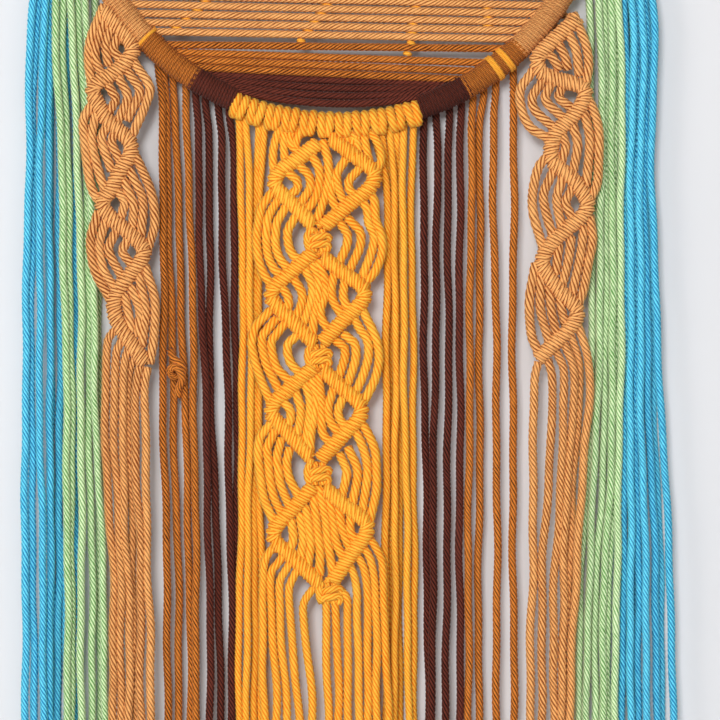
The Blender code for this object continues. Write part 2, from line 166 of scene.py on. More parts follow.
def make_piece(name, ropes, finish, node=None):
    """One mesh of all the ropes: faces join ring to ring and point to point round the ring.

    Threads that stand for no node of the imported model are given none.
    """
    points, corners, starts, texture, shades = [], [], [], [], []
    first = loops = 0
    for surface, run in ropes:
        rings, round_ = surface.shape[:2]
        points.append(surface.reshape(-1, 3))
        i, k = np.meshgrid(np.arange(rings - 1), np.arange(round_), indexing="ij")
        ahead = (k + 1) % round_
        quads = np.stack(
            (i * round_ + k, (i + 1) * round_ + k, (i + 1) * round_ + ahead, i * round_ + ahead),
            axis=-1,
        ).reshape(-1)
        ends = np.concatenate((np.arange(round_), np.arange(round_)[::-1] + (rings - 1) * round_))
        corners.append(first + np.concatenate((quads, ends)))
        size = quads.size // 4
        starts.append(loops + np.concatenate((np.arange(size) * 4, size * 4 + round_ * np.arange(2))))
        u = np.stack((k, k, k + 1, k + 1), axis=-1).reshape(-1) / round_
        v = run[np.stack((i, i + 1, i + 1, i), axis=-1).reshape(-1)]
        cap_u = np.tile(np.arange(round_) / round_, 2)
        cap_v = np.repeat((0.0, run[-1]), round_)
        u, v = np.concatenate((u, cap_u)), np.concatenate((v, cap_v))
        texture.append(np.stack((u, v * MM), axis=-1))
        shades.append(np.full(rings * round_, chance.uniform(-1.0, 1.0)))
        first += rings * round_
        loops += quads.size + ends.size
    mesh = bpy.data.meshes.new(name)
    points, corners, starts = np.concatenate(points), np.concatenate(corners), np.concatenate(starts)
    mesh.vertices.add(len(points))
    mesh.vertices.foreach_set("co", points.ravel() * MM)
    mesh.loops.add(len(corners))
    mesh.loops.foreach_set("vertex_index", corners)
    mesh.polygons.add(len(starts))
    mesh.polygons.foreach_set("loop_start", starts)
    along_the_rope = mesh.uv_layers.new(name="along_the_rope")
    along_the_rope.uv.foreach_set("vector", np.concatenate(texture).ravel())
    shade = mesh.attributes.new("shade", "FLOAT", "POINT")
    shade.data.foreach_set("value", np.concatenate(shades))
    mesh.update(calc_edges=True)
    mesh.shade_smooth()
    piece = new_object(name, mesh, finish)
    if node:
        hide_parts(node)
    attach(piece, "root")
    triangles_made[name] = len(corners) - 2 * len(starts)
    print(f"{name}: {len(ropes)} ropes, {triangles_made[name]} triangles")


# %% [markdown]
# ## Cotton
#
# The cord is mercerised cotton, spun, plied, dyed in the yarn and twisted, with no coating.
# It is matt with a faint silky sheen, and fine fibres run along each ply. The shade in its
# grooves is painted into its colour, deeper towards each groove. A picture could give that,
# but nodes that read the rope's own UV map follow every twist and need no file.

# %% Colours and the node helper
# dye: the colour on a yarn's crown, and the darker colour painted in the groove beside it as shade
DYES_AND_GROOVE_SHADES = {
    "orange": ("#FFC649", "#EE7C10"),
    "dark_brown": ("#723629", "#120100"),
    "rust": ("#E28838", "#401000"),
    "tan": ("#FFBC73", "#863A10"),
    "green": ("#ECFFCE", "#549540"),
    "blue": ("#76E4FC", "#0078B2"),
}


def linear(hex_colour):
    """An sRGB hex colour as linear red, green, blue and an alpha of one."""
    parts = (int(hex_colour[i : i + 2], 16) / 255 for i in (1, 3, 5))
    return tuple(p / 12.92 if p <= 0.04045 else ((p + 0.055) / 1.055) ** 2.4 for p in parts) + (1.0,)


def add(tree, kind, settings=(), **inputs):
    """Adds a node: settings are its own properties, inputs are values or sockets by name.

    An input called i0, i1 and so on is meant by its number.
    """
    node = tree.nodes.new(kind)
    for key, value in dict(settings).items():
        setattr(node, key, value)
    for key, value in inputs.items():
        numbered = key[0] == "i" and key[1:].isdigit()
        socket = node.inputs[int(key[1:]) if numbered else key.replace("_", " ")]
        if isinstance(value, bpy.types.NodeSocket):
            tree.links.new(value, socket)
        else:
            socket.default_value = value
    return node


def maths(tree, operation, *values):
    """The outcome of a math node on values or sockets."""
    inputs = {f"i{number}": value for number, value in enumerate(values)}
    return add(tree, "ShaderNodeMath", {"operation": operation}, **inputs).outputs[0]


def fresh_material(name):
    """A new node material, its tree and its Principled shader."""
    made = bpy.data.materials.new(name)
    made.use_nodes = True
    return made, made.node_tree, made.node_tree.nodes["Principled BSDF"]


# %% The cotton itself
def cotton(dye):
    """Twisted cotton of one dye: colour by fibre and by cord, with shade painted in, deeper towards each
    groove.
    """
    light, groove_shade_colour = DYES_AND_GROOVE_SHADES[dye]
    made, tree, shader = fresh_material("twisted_cotton_" + dye)
    uv = add(tree, "ShaderNodeUVMap", {"uv_map": "along_the_rope"}).outputs["UV"]
    split = add(tree, "ShaderNodeSeparateXYZ", Vector=uv).outputs
    shade = add(tree, "ShaderNodeAttribute", {"attribute_name": "shade"}).outputs["Fac"]
    # where round its yarn: 0 on the crown, 0.5 in the groove
    yarn = maths(tree, "MULTIPLY", split[0], float(YARNS))
    yarn = maths(tree, "PINGPONG", yarn, 0.5)
    # tufts of fibres: streaks 0.5 mm wide and 4 mm long, other ones on every cord
    around = maths(tree, "MULTIPLY", split[0], 26.0)
    along = maths(tree, "MULTIPLY", split[1], 260.0)
    which = maths(tree, "MULTIPLY", shade, 37.0)
    where = add(tree, "ShaderNodeCombineXYZ", i0=around, i1=along, i2=which).outputs[0]
    noise = add(tree, "ShaderNodeTexNoise", Vector=where, Scale=1.0, Detail=3.0, Roughness=0.6)
    streaks = noise.outputs["Fac"]
    # soft patches some 17 mm across, where the dye took unevenly
    patchy = add(tree, "ShaderNodeTexCoord").outputs["Object"]
    patches = add(tree, "ShaderNodeTexNoise", Vector=patchy, Scale=60.0, Detail=2.0).outputs["Fac"]
    # how far each of them mixes the crown's colour towards the groove colour: the first paints shade,
    # deeper towards each groove, the second is the fibres' own tone
    depth = add(tree, "ShaderNodeMapRange", Value=yarn, i1=0.16, i2=0.48, i3=-0.12, i4=1.0).outputs[0]
    fibre = add(tree, "ShaderNodeMapRange", Value=streaks, i1=0.3, i2=0.7, i3=-0.4, i4=0.35).outputs[0]
    mixed = maths(tree, "ADD", depth, fibre)
    cord = maths(tree, "MULTIPLY_ADD", shade, 0.12, mixed)
    painted_shade_and_tone = maths(tree, "MULTIPLY_ADD", patches, 0.2, cord)
    blend = {"data_type": "RGBA", "clamp_factor": True}
    # the base colour: the dye's own colour, with painted shade towards each groove
    colour = add(tree, "ShaderNodeMix", blend, i0=painted_shade_and_tone, i6=linear(light), i7=linear(groove_shade_colour)).outputs[2]
    tree.links.new(colour, shader.inputs["Base Color"])
    bump = add(tree, "ShaderNodeBump", Strength=0.6, Distance=0.00012, Height=streaks).outputs[0]
    tree.links.new(bump, shader.inputs["Normal"])
    # loose fibres scatter nearly all of the light, so a cord has no highlight of its own
    shader.inputs["Roughness"].default_value = 0.9
    shader.inputs["IOR"].default_value = 1.5
    shader.inputs["Specular IOR Level"].default_value = 0.15
    shader.inputs["Sheen Weight"].default_value = 0.05
    shader.inputs["Sheen Roughness"].default_value = 0.4
    return made


COTTON = {dye: cotton(dye) for dye in DYES_AND_GROOVE_SHADES}
print("cottons:", ", ".join(COTTON))

# %% [markdown]
# ## The hoop
#
# A plain steel ring, bare only at the top where it hangs on its hook. The torus primitive
# would do as well, but a circle carried round a circle is made as the ropes are. The wire
# is drawn through a die, which leaves it bright, with a fine satin grain.

# %% The bare hoop
HOOP_STATIONS = 180
WIRE_POINTS = 16


def steel():
    """Bright drawn wire: grey metal, whose gloss varies in specks of about 1 mm."""
    made, tree, shader = fresh_material("drawn_steel_wire")
    spot = add(tree, "ShaderNodeTexCoord").outputs["Object"]
    grain = add(tree, "ShaderNodeTexNoise", Vector=spot, Scale=900.0, Detail=3.0).outputs["Fac"]
    rough = add(tree, "ShaderNodeMapRange", Value=grain, i3=0.28, i4=0.42).outputs[0]
    tree.links.new(rough, shader.inputs["Roughness"])
    bump = add(tree, "ShaderNodeBump", Strength=0.2, Distance=0.00003, Height=grain).outputs[0]
    tree.links.new(bump, shader.inputs["Normal"])
    shader.inputs["Base Color"].default_value = linear("#B9BABC")
    shader.inputs["Metallic"].default_value = 1.0
    return made


def hoop_wire():
    """A ring of round wire: a circle carried round a circle."""
    round_hoop, round_wire = np.meshgrid(
        np.linspace(0, 360, HOOP_STATIONS, endpoint=False),
        np.linspace(0, 2 * np.pi, WIRE_POINTS, endpoint=False),
        indexing="ij",
    )
    radius = HOOP_RADIUS + WIRE_RADIUS * np.cos(round_wire)
    points = on_hoop(round_hoop, radius, WIRE_RADIUS * np.sin(round_wire))
    i, k = np.meshgrid(np.arange(HOOP_STATIONS) * WIRE_POINTS, np.arange(WIRE_POINTS), indexing="ij")
    i_next, k_next = (i + WIRE_POINTS) % (HOOP_STATIONS * WIRE_POINTS), (k + 1) % WIRE_POINTS
    faces = np.stack((i + k, i + k_next, i_next + k_next, i_next + k), axis=-1)
    mesh = bpy.data.meshes.new("bare_hoop")
    mesh.from_pydata((points.reshape(-1, 3) * MM).tolist(), [], faces.reshape(-1, 4).tolist())
    mesh.shade_smooth()
    piece = new_object("bare_hoop", mesh, steel())
    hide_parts("ring")
    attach(piece, "root")
    triangles_made["bare_hoop"] = 2 * HOOP_STATIONS * WIRE_POINTS
    print("bare_hoop:", triangles_made["bare_hoop"], "triangles")


hoop_wire()

# %% [markdown]
# ## Winding and rows
#
# Bands of coloured cord are wound tightly round the hoop, and the same cords cross its
# inside in rows, a little higher on one side than on the other. The bands are close, smooth
# and woolly, so they are wound with one thin yarn of the cord over the rows' turned ends: a
# spiral round the wire, whose path circles the hoop's own curve once for each thread.

# %% Wraps
THREAD = {"thickness": 0.45, "section": THREAD_SECTION}
WRAP_PITCH = 1.5
WRAP_RADIUS = 5.3


def wraps(
    core, radius, pitch, upright=0.0, thickness=1.0, per_turn=14, section=ROPE_SECTION, loose=0.0, lay=LAY
):
    """A spiral round a core line, with per_turn places in each turn.

    A place is the core's own point, plus radius times a direction that turns once for each
    pitch of core. A slide of a quarter pitch along the core sets the front of each wrap square
    to it, and upright slides it further where the core falls to the right. loose adds that
    many millimetres of chance to the radius, three times a turn.
    """
    gaps = np.linalg.norm(np.diff(core, axis=0), axis=1)
    run = np.concatenate(([0.0], np.cumsum(gaps)))
    turns = run[-1] / pitch
    at = np.linspace(0.0, run[-1], max(8, round(turns * per_turn)))
    line = np.stack([np.interp(at, run, core[:, k]) for k in range(3)], axis=-1)
    ahead = unit(np.gradient(line, axis=0))
    side = unit(np.cross(ahead, (0.0, 1.0, 0.0)))
    back = np.cross(side, ahead)
    angle = (2 * np.pi * turns * at / run[-1])[:, None]
    slide = pitch / 4 + radius * upright * np.clip(2 * ahead[:, :1], 0.0, 1.0)
    tugs = chance.normal(0.0, loose, round(3 * turns) + 2)
    radius = radius + np.interp(at, np.linspace(0.0, run[-1], len(tugs)), tugs)[:, None]
    path = line + radius * (np.cos(angle) * side + np.sin(angle) * back) - slide * np.cos(angle) * ahead
    return rope(path, across=ahead, thickness=thickness, section=section, lay=lay)


print("a band's thread goes round every", WRAP_PITCH, "mm")

# %% Bands and rows
# a band's inner edge, the radius that holds a row's ends, and the room left at the edges
INNER_RADIUS = 119.55
ROW_HELD = 121.8
ROW_ROOM = -1.2
ROW_PLACES = 25
# how far the winding goes on past a band's edges, in degrees, and how much it strays, in mm
BAND_LAP, BAND_LOOSE = 0.4, 0.18
# depth from row to row: those that sag lie one behind the other, the others take turns
CROSSING_STEP, ROW_STEP = 0.9, 0.2
# colour: left band's first and last angle, right band's first and last angle
BANDS = {
    "dark_brown": (-32.8, -23.2, 18.2, 29.0),
    "rust": (-46.5, -32.8, 29.0, 43.3),
    "tan": (-68.0, -46.5, 43.3, 64.0),
    "green": (-88.0, -68.0, 64.0, 84.0),
    "blue": (-175.5, -88.0, 84.0, 175.5),
}
# colour: number of rows, drop of the lowest and highest at the left end, then at the right
# end, and how far the lowest and the highest sag
ROWS = {
    "dark_brown": (4, 109.2, 102.8, 112.8, 107.4, 6.2, 1.0),
    "rust": (4, 99.9, 89.3, 105.9, 94.0, 0.0, 0.0),
    "tan": (9, 83.0, 48.4, 86.7, 54.9, 0.0, 0.0),
    "green": (10, 43.9, 5.4, 51.0, 14.0, 0.0, 0.0),
    "blue": (27, 1.0, -117.6, 9.5, -117.2, 0.0, 0.0),
}
# the highest rust row runs level, and leaves a wedge of wall below it at the right
HIGH_AT_RIGHT = {"rust": 2.8}
print("rows across the hoop:", sum(count for count, *_ in ROWS.values()))


def held_in_band(drop, low_angle, high_angle):
    """A row's end, kept between the drops of its own band's two edges."""
    lowest = INNER_RADIUS * math.cos(math.radians(low_angle)) - ROW_ROOM
    highest = ROW_HELD * math.cos(math.radians(high_angle)) + ROW_ROOM
    return min(max(drop, highest), lowest)


def row_ends(dye, number):
    """Drop of a row at its left and right end, and its sag.

    They are shared out evenly from the lowest row to the highest.
    """
    left_first, left_last, right_first, right_last = BANDS[dye]
    count, left_low, left_high, right_low, right_high, sag_low, sag_high = ROWS[dye]
    share = number / (count - 1)
    left = held_in_band(left_low + (left_high - left_low) * share, left_last, left_first)
    right = held_in_band(right_low + (right_high - right_low) * share, right_first, right_last)
    if number == count - 1:
        right -= HIGH_AT_RIGHT.get(dye, 0.0)
    return left, right, sag_low + (sag_high - sag_low) * share


def row(left, right, sag, y):
    """One cord across the hoop.

    It is a straight line that hangs below itself by four times sag times the share of the
    way times what is left of it.
    """
    share = np.linspace(0.0, 1.0, ROW_PLACES)
    start, end = -math.sqrt(ROW_HELD**2 - left**2), math.sqrt(ROW_HELD**2 - right**2)
    drop = left + (right - left) * share + 4 * sag * share * (1 - share)
    return smooth_path(place(start + (end - start) * share, drop, y))


for dye, (left_first, left_last, right_first, right_last) in BANDS.items():
    ropes = []
    for first, last in ((left_first, left_last), (right_first, right_last)):
        core = on_hoop(np.linspace(first - BAND_LAP, last + BAND_LAP, 60))
        ropes.append(wraps(core, WRAP_RADIUS, WRAP_PITCH, loose=BAND_LOOSE, **THREAD))
    count = ROWS[dye][0]
    for number in range(count):
        left, right, sag = row_ends(dye, number)
        y = CROSSING_STEP * (number - (count - 1) / 2) if sag else ROW_STEP * (-1) ** number
        ropes.append(rope(row(left, right, sag, y)))
    make_piece("wound_band_" + dye, ropes, COTTON[dye], "winding_" + dye)

# %% [markdown]
# ## Hanging cords
#
# Straight cords hang from behind the hoop to a level trimmed edge. Each was looped over a
# thin holding cord there. Soft cotton is never quite straight, so each cord also wanders by
# a few tenths of a millimetre.

# %% The tables of the hanging cords
# depth of each layer of cords
FRONT, MIDDLE, REAR = 2.0, 5.5, 12.0
# depth of the holding cord behind the hoop, and of the cords where they leave it
ROOTS = {"inner": (7.7, 7.7), "blue": (9.8, 12.0)}
# radius at which an inner cord is clear of the hoop, and the drop from there to its layer
CLEAR_RADIUS = 132.5
SWING = 14.0
# cords rooted beyond this angle run down outside the hoop, and reach their layer at TOP_DROP;
# they stay behind for this share of the way
OUTER_FROM = 60.0
TOP_DROP = 68.0
STAYS_BEHIND = 0.55
LEVELS = (158.0, 262.5, 366.5)
# the cut, and how far a sine makes it stray, by so many radians from cord to cord
TRIM_DROP = 575.0
TRIM_STRAY, TRIM_TURN = 2.5, 2.4
# below this drop a cord's rings stand further apart, by this factor
FINE_TO = 415.0
THINNING = 1.45
# node: rows of root angle (x for the orange ones), x where the cord comes clear of the hoop,
# x at the three LEVELS, depth
HANGING = {
    "cords_blue_left": (
        (-103.5, -144, -146.5, -148, -148, FRONT), (-101, -142, -145, -145.5, -144.5, MIDDLE),
        (-98.5, -138.5, -141, -141, -139.5, FRONT), (-96, -136.8, -137.5, -137, -137, REAR),
        (-93.5, -136.5, -137, -136.5, -136.5, MIDDLE), (-91, -132.8, -132.8, -132.6, -133.4, REAR),
        (-88.5, -129.2, -129.1, -129, -129.6, REAR), (-86, -125.4, -125.1, -124.8, -125.2, REAR),
    ),
    "cords_green_left": (
        (-81.5, -133.5, -130.5, -128.5, -128, FRONT), (-79, -130.5, -128, -126.5, -126.5, MIDDLE),
        (-76.5, -126.5, -122.5, -121.5, -121.5, FRONT), (-74, -123, -119, -118, -116.5, MIDDLE),
        (-71.5, -119.5, -116.5, -114.5, -110.5, FRONT), (-69, -116, -114.5, -114, -113.5, REAR),
    ),
    "cords_rust_left": (
        (-43, -83.3, -82.5, -82.5, -80.5, FRONT), (-41.4, -81.6, -80.5, -78, -75.5, MIDDLE),
        (-38.8, -77.2, -76, -72.5, -70, MIDDLE), (-35.3, -71.8, -70, -68, -67, FRONT),
    ),
    "cords_dark_left": (
        (-32.7, -66, -66, -62.5, -60.5, FRONT), (-30.2, -61, -61, -60, -56, MIDDLE),
        (-27, -55, -55, -52, -50.2, FRONT), (-24.3, -49.5, -49.5, -48, -48, MIDDLE),
    ),
    "cords_orange_left": (
        (-46.6, -45.8, -45.6, -45, -46.6, FRONT), (-43.6, -42.6, -41.8, -41.3, -43, FRONT),
        (-37.2, -37, -38.8, -39.5, -39.5, MIDDLE), (-34.6, -35, -36.8, -37.3, -36, MIDDLE),
    ),
    "cords_orange_right": (
        (17.8, 23.2, 23.2, 23, 23, MIDDLE), (21, 25, 25, 25, 25, REAR),
        (24.8, 27, 27, 27.5, 27.2, MIDDLE), (28, 29.4, 29.4, 29.4, 29.4, REAR),
        (31.4, 31, 31, 32, 33.5, FRONT), (36, 35.2, 35.2, 36, 36.4, MIDDLE),
    ),
    "cords_dark_right": (
        (19.2, 40.8, 40.8, 41.5, 43, MIDDLE), (22, 47.5, 47.5, 46, 45, FRONT),
        (25.2, 52.5, 52.5, 52.5, 51.5, FRONT), (28.1, 58, 58, 58, 58, FRONT),
    ),
    "cords_rust_right": (
        (31, 63.5, 63.5, 62.5, 62, FRONT), (33.8, 67.5, 67.5, 67.5, 67, MIDDLE),
        (37, 74, 74, 75.5, 75.5, FRONT), (42, 83.5, 83.5, 83, 83.5, FRONT),
    ),
    "cords_green_right": (
        (65, 119.6, 121, 120.5, 114.8, MIDDLE), (67.5, 124, 125, 123, 118.5, FRONT),
        (70, 126.5, 127.5, 127, 122.5, MIDDLE), (72.5, 129.5, 130, 130.3, 126, FRONT),
        (75, 131.5, 132.2, 132, 128.5, MIDDLE), (77.5, 133.5, 134.5, 134, 132, FRONT),
    ),
    "cords_blue_right": (
        (82, 136.5, 137, 137, 135.5, MIDDLE), (84.5, 139.5, 139, 139, 139, FRONT),
        (87, 140, 140, 140.5, 140.5, REAR), (89.5, 141.5, 141.5, 142, 143, MIDDLE),
        (92, 144, 143.5, 144, 146.5, FRONT), (94.5, 146, 146, 148, 151.5, MIDDLE),
        (97, 148, 147.5, 151, 154.5, REAR), (99.5, 149, 149, 153.5, 158.5, FRONT),
    ),
}
print("cords that hang plainly:", sum(map(len, HANGING.values())))

# %% Cords that hang
# length and share of each wave aside, length of the one to the back, and of their growing
WAVES_ASIDE = ((110, 1.0), (47, 0.6))
WAVE_BACK = 90
GROWN_AT = 60
# a cord from a heading starts this far outside the wire, and goes straight down this far
OUT_OF_HEADING, DOWN_FROM_HEADING = 3.0, 5.0


def trim(number):
    """The drop of a cord's cut end: level, but for the few millimetres of a hand's cut."""
    return TRIM_DROP + TRIM_STRAY * math.sin(TRIM_TURN * number)


def wander(path, size=0.35):
    """The path moved aside by two slow waves and to the back by one, but not at its start."""
    run = np.linspace(0.0, len(path) * STEP, len(path))
    phase = chance.uniform(0, 2 * np.pi, 4)
    fade = np.clip(run / GROWN_AT, 0, 1)
    aside = sum(
        share * np.sin(2 * np.pi * run / length + at) for (length, share), at in zip(WAVES_ASIDE, phase)
    )
    back = np.sin(2 * np.pi * run / WAVE_BACK + phase[2])
    moved = path.copy()
    moved[:, 0] += size * fade * aside
    moved[:, 1] += size * fade * back
    return moved


def thinned(path):
    """The path with fewer places below the panels, where the cord runs nearly straight."""
    fine = np.count_nonzero(path[:, 2] > HOOP_CENTRE - FINE_TO)
    few = max(2, round((len(path) - fine) / THINNING))
    keep = np.concatenate((np.arange(fine), np.linspace(fine, len(path) - 1, few)))
    return np.stack([np.interp(keep, np.arange(len(path)), path[:, k]) for k in range(3)], axis=-1)


def hanging_cord(number, root, x_clear, x_levels, depth, from_heading, behind):
    """A cord from its root, round the hoop's back or straight out of a heading, to its cut end."""
    if from_heading:
        start = math.sqrt((HOOP_RADIUS + OUT_OF_HEADING) ** 2 - root**2)
        points = [place(root, down, FRONT) for down in (start, start + DOWN_FROM_HEADING)]
    else:
        root_x = HOOP_RADIUS * math.sin(math.radians(root))
        root_drop = HOOP_RADIUS * math.cos(math.radians(root))
        if abs(root) < OUTER_FROM:
            clear = math.sqrt(CLEAR_RADIUS**2 - root_x**2)
            points = [
                place(root_x, root_drop, behind),
                place(root_x, clear, behind),
                place(x_clear, clear + SWING, depth),
            ]
        else:
            root_at, top_at = place(root_x, root_drop, behind), place(x_clear, TOP_DROP, depth)
            half_way = root_at + STAYS_BEHIND * (top_at - root_at)
            half_way[1] = behind
            points = [root_at, half_way, top_at]
    points += [place(x, drop, depth) for x, drop in zip(x_levels, LEVELS)]
    points.append(place(x_levels[-1], trim(number), depth))
    return rope(thinned(wander(smooth_path(points))))


# %% [markdown]
# ## Headings
#
# Each orange cord was folded and looped over the wire in a larks head, which shows as two
# upright loops side by side with the ends drawn down from behind.

# %% Loops on the wire
# node: first and last angle of its heading, and the number of its loops
HEADINGS = {
    "cords_orange_left": (-23.2, -15.67, 4),
    "panel_orange": (-15.67, 6.9, 12),
    "cords_orange_right": (6.9, 18.2, 6),
}
# one loop seen from the side: radius from the hoop's centre, depth, and share of the lean
LOOP_SIDE = (
    (130.2, 2.8, 0), (126, 3.6, 0), (123.4, 2.2, 0), (123.2, -1.4, 0),
    (125, -3.5, 0), (128.6, -3.6, 0.2), (131.4, -2.2, 0.8), (131.8, 0.6, 1.1),
)
# how far a loop leans, as a share of its width, and strays, in degrees and in mm
LOOP_LEAN, ANGLE_STRAY, RADIUS_STRAY = 0.2, 0.04, 0.2
LOOP_THICKNESS = 1.22


def heading(name):
    """A row of loops: each is a line over the wire, in the upright plane through its angle."""
    first, last, count = HEADINGS[name]
    made = []
    width = (last - first) / count
    radius, depth, leaning = np.array(LOOP_SIDE).T
    for number in range(count):
        middle = first + width * (number + 0.5)
        lean = LOOP_LEAN * width * (-1) ** number
        angles = middle + lean * leaning + chance.normal(0.0, ANGLE_STRAY)
        path = smooth_path(on_hoop(angles, radius + chance.normal(0.0, RADIUS_STRAY), depth), step=1.2)
        along = on_hoop(middle + 1.0) - on_hoop(middle)
        made.append(rope(path, across=along, thickness=LOOP_THICKNESS))
    return made


print("loops on the wire:", sum(count for *_, count in HEADINGS.values()))

# %% [markdown]
# ## The groups of hanging cords
#
# Each group hangs from a holding cord behind the hoop, or from a heading. One rust cord has
# an overhand tangle half-way down: twelve places give its crossings as they are seen.

# %% The hanging groups
# x, drop and depth of the tangle's places
TANGLE = (
    (-79.4, 234, 4), (-77.6, 238, -0.4), (-74.4, 240.4, -1.2), (-72.9, 243.8, 0.4), (-75, 246.6, 3.4),
    (-78.6, 246, 1.4), (-79.2, 242.8, -1.2), (-76.6, 241.8, -2.6), (-74, 244.6, -2.2), (-73.4, 248.4, 0),
    (-75.2, 251.6, 2.4), (-75.6, 256, 5),
)
# how far a holding cord goes on past its first and last cord, in degrees
ROOT_LAP = 0.7

for node, rows in HANGING.items():
    shade = node.split("_")[1]
    dye = "dark_brown" if shade == "dark" else shade
    from_heading = node in HEADINGS
    root_depth, behind = ROOTS.get(dye, ROOTS["inner"])
    if from_heading:
        ropes = heading(node)
    else:
        first, last = sorted((rows[0][0], rows[-1][0]))
        along = np.linspace(first - ROOT_LAP, last + ROOT_LAP, 9)
        ropes = [rope(smooth_path(on_hoop(along, y=root_depth)))]
    if node == "cords_rust_left":
        ropes.append(rope(smooth_path([place(*spot) for spot in TANGLE])))
    for number, (root, x_clear, *x_levels, depth) in enumerate(rows):
        ropes.append(hanging_cord(number, root, x_clear, x_levels, depth, from_heading, behind))
    make_piece("rope_" + node, ropes, COTTON[dye], node)

# %% [markdown]
# ## Knotted panels
#
# A bar is a row of double half hitches: every working cord is wound twice round one holding
# cord, which goes on round the corner into the next bar. So a bar is the same spiral as a
# wrap, drawn tight. Between the bars the working cords hang slack in bows. Their places are
# a table, because a hand's bows follow no formula, and one smooth line goes through each.

# %% Holding cords of the panels
ORANGE_DEPTH = -1.3
TAN_DEPTH = -3.0
# where two bars meet, the left one passes behind the right one by twice this
BAR_CROSSING = 0.2
# each holding cord: its places from the top down
DIAMONDS = (
    ((-8.9, 135.9), (-18.6, 143.2), (-28.2, 150.4), (-29.4, 156.2), (-20.6, 165.2), (-11.1, 175.2)),
    ((-3.4, 133.4), (7, 141.4), (17, 149.2), (16.2, 156), (4.6, 165.8), (-7.1, 175.9)),
    ((-10.9, 187.4), (-20.8, 196.1), (-30.7, 205.2), (-30.6, 210.4), (-21, 220.4), (-10.6, 231)),
    ((-7.1, 189.7), (2.6, 197.2), (12.3, 204.6), (12.2, 210.2), (2.6, 220), (-7.1, 230.2)),
    ((-11.1, 241.8), (-20.9, 250.6), (-30.4, 259.6), (-30.6, 265), (-22, 274.4), (-12.1, 285)),
    ((-7.1, 243), (2, 251.4), (10.7, 259.6), (10.8, 265.2), (1.6, 275.2), (-7.7, 285.2)),
    ((-11.1, 298.2), (-20.4, 308.2), (-29.4, 318), (-29.8, 323.4), (-19.6, 333.4), (-8.3, 344.4)),
    ((-6, 299.2), (3.9, 307.4), (13.4, 315.2), (13.8, 320.2), (5.8, 331.6), (-2.5, 343.6)),
)
ZIGZAGS = {
    "left": (
        (-110.5, 72.9), (-103.4, 81.4), (-97.7, 88.5), (-96.7, 92.8), (-100.5, 98.4), (-106.7, 103.6),
        (-113.8, 107.9), (-115.7, 111.7), (-113.3, 116.9), (-109.3, 124.5), (-103.8, 129.7), (-98.6, 134.4),
        (-97.4, 138.7), (-98.6, 143.4), (-102.9, 149.6), (-106.7, 158.1), (-110.5, 162.4), (-110.9, 165.7),
        (-108.6, 169.5), (-104.3, 173.7), (-99.6, 177.5), (-94.4, 182.3), (-91.3, 186.5), (-92.5, 191.2),
        (-99.1, 199.8), (-104.8, 207.8), (-105.6, 213), (-104.1, 220.1), (-98.6, 229.1), (-93.4, 236.2),
        (-91.1, 240),
    ),
    "right": (
        (113, 77.6), (104, 85.7), (96.5, 93.2), (94.3, 97), (96, 102.2), (100.2, 104.6), (109.2, 107.4),
        (115.4, 109.3), (117.3, 112.6), (115.4, 117.9), (110.4, 124.5), (104, 130.6), (101.2, 137.7),
        (101.4, 143.9), (105.9, 148.6), (111.6, 153.4), (115.9, 159.5), (118.2, 164.7), (116.8, 169.5),
        (110.4, 175.1), (102.1, 182.7), (97.9, 188.4), (96.7, 193.1), (100.2, 199.3), (106.4, 207.3),
        (111.6, 212.1), (113.5, 215.9), (112.1, 220.6), (106.9, 226.8), (100.2, 232.9), (95, 237.9),
    ),
}
BAR_RADIUS = 4.1
HOLDING_THICKNESS = 1.45
HITCH_PITCH = 2.3
HITCH_THICKNESS = 0.92
HITCH_LOOSE = 0.1
# drawn tight, a hitch has lost some of its twist
HITCH_LAY = 24.0
UPRIGHT = {"orange": 0.45, "tan": 0.2}


def bar(places, depth, dye):
    """A thick holding cord through its places, and a tight spiral of hitches round it."""
    path = smooth_path([place(x, drop, depth) for x, drop in places], step=1.4)
    wrap = BAR_RADIUS - HITCH_THICKNESS * ROPE_RADIUS
    holding = rope(path, thickness=HOLDING_THICKNESS)
    spiral = {"upright": UPRIGHT[dye], "per_turn": 11, "loose": HITCH_LOOSE, "lay": HITCH_LAY}
    return [holding, wraps(path, wrap, HITCH_PITCH, thickness=HITCH_THICKNESS, **spiral)]


print("holding cords:", len(DIAMONDS) + len(ZIGZAGS))

# %% [markdown]
# ## The slack cords of the panels
#
# The slack cords have lost some of their twist, so they are a little thicker and their
# grooves stand further apart. Each goes on by a few millimetres under the bars it joins.

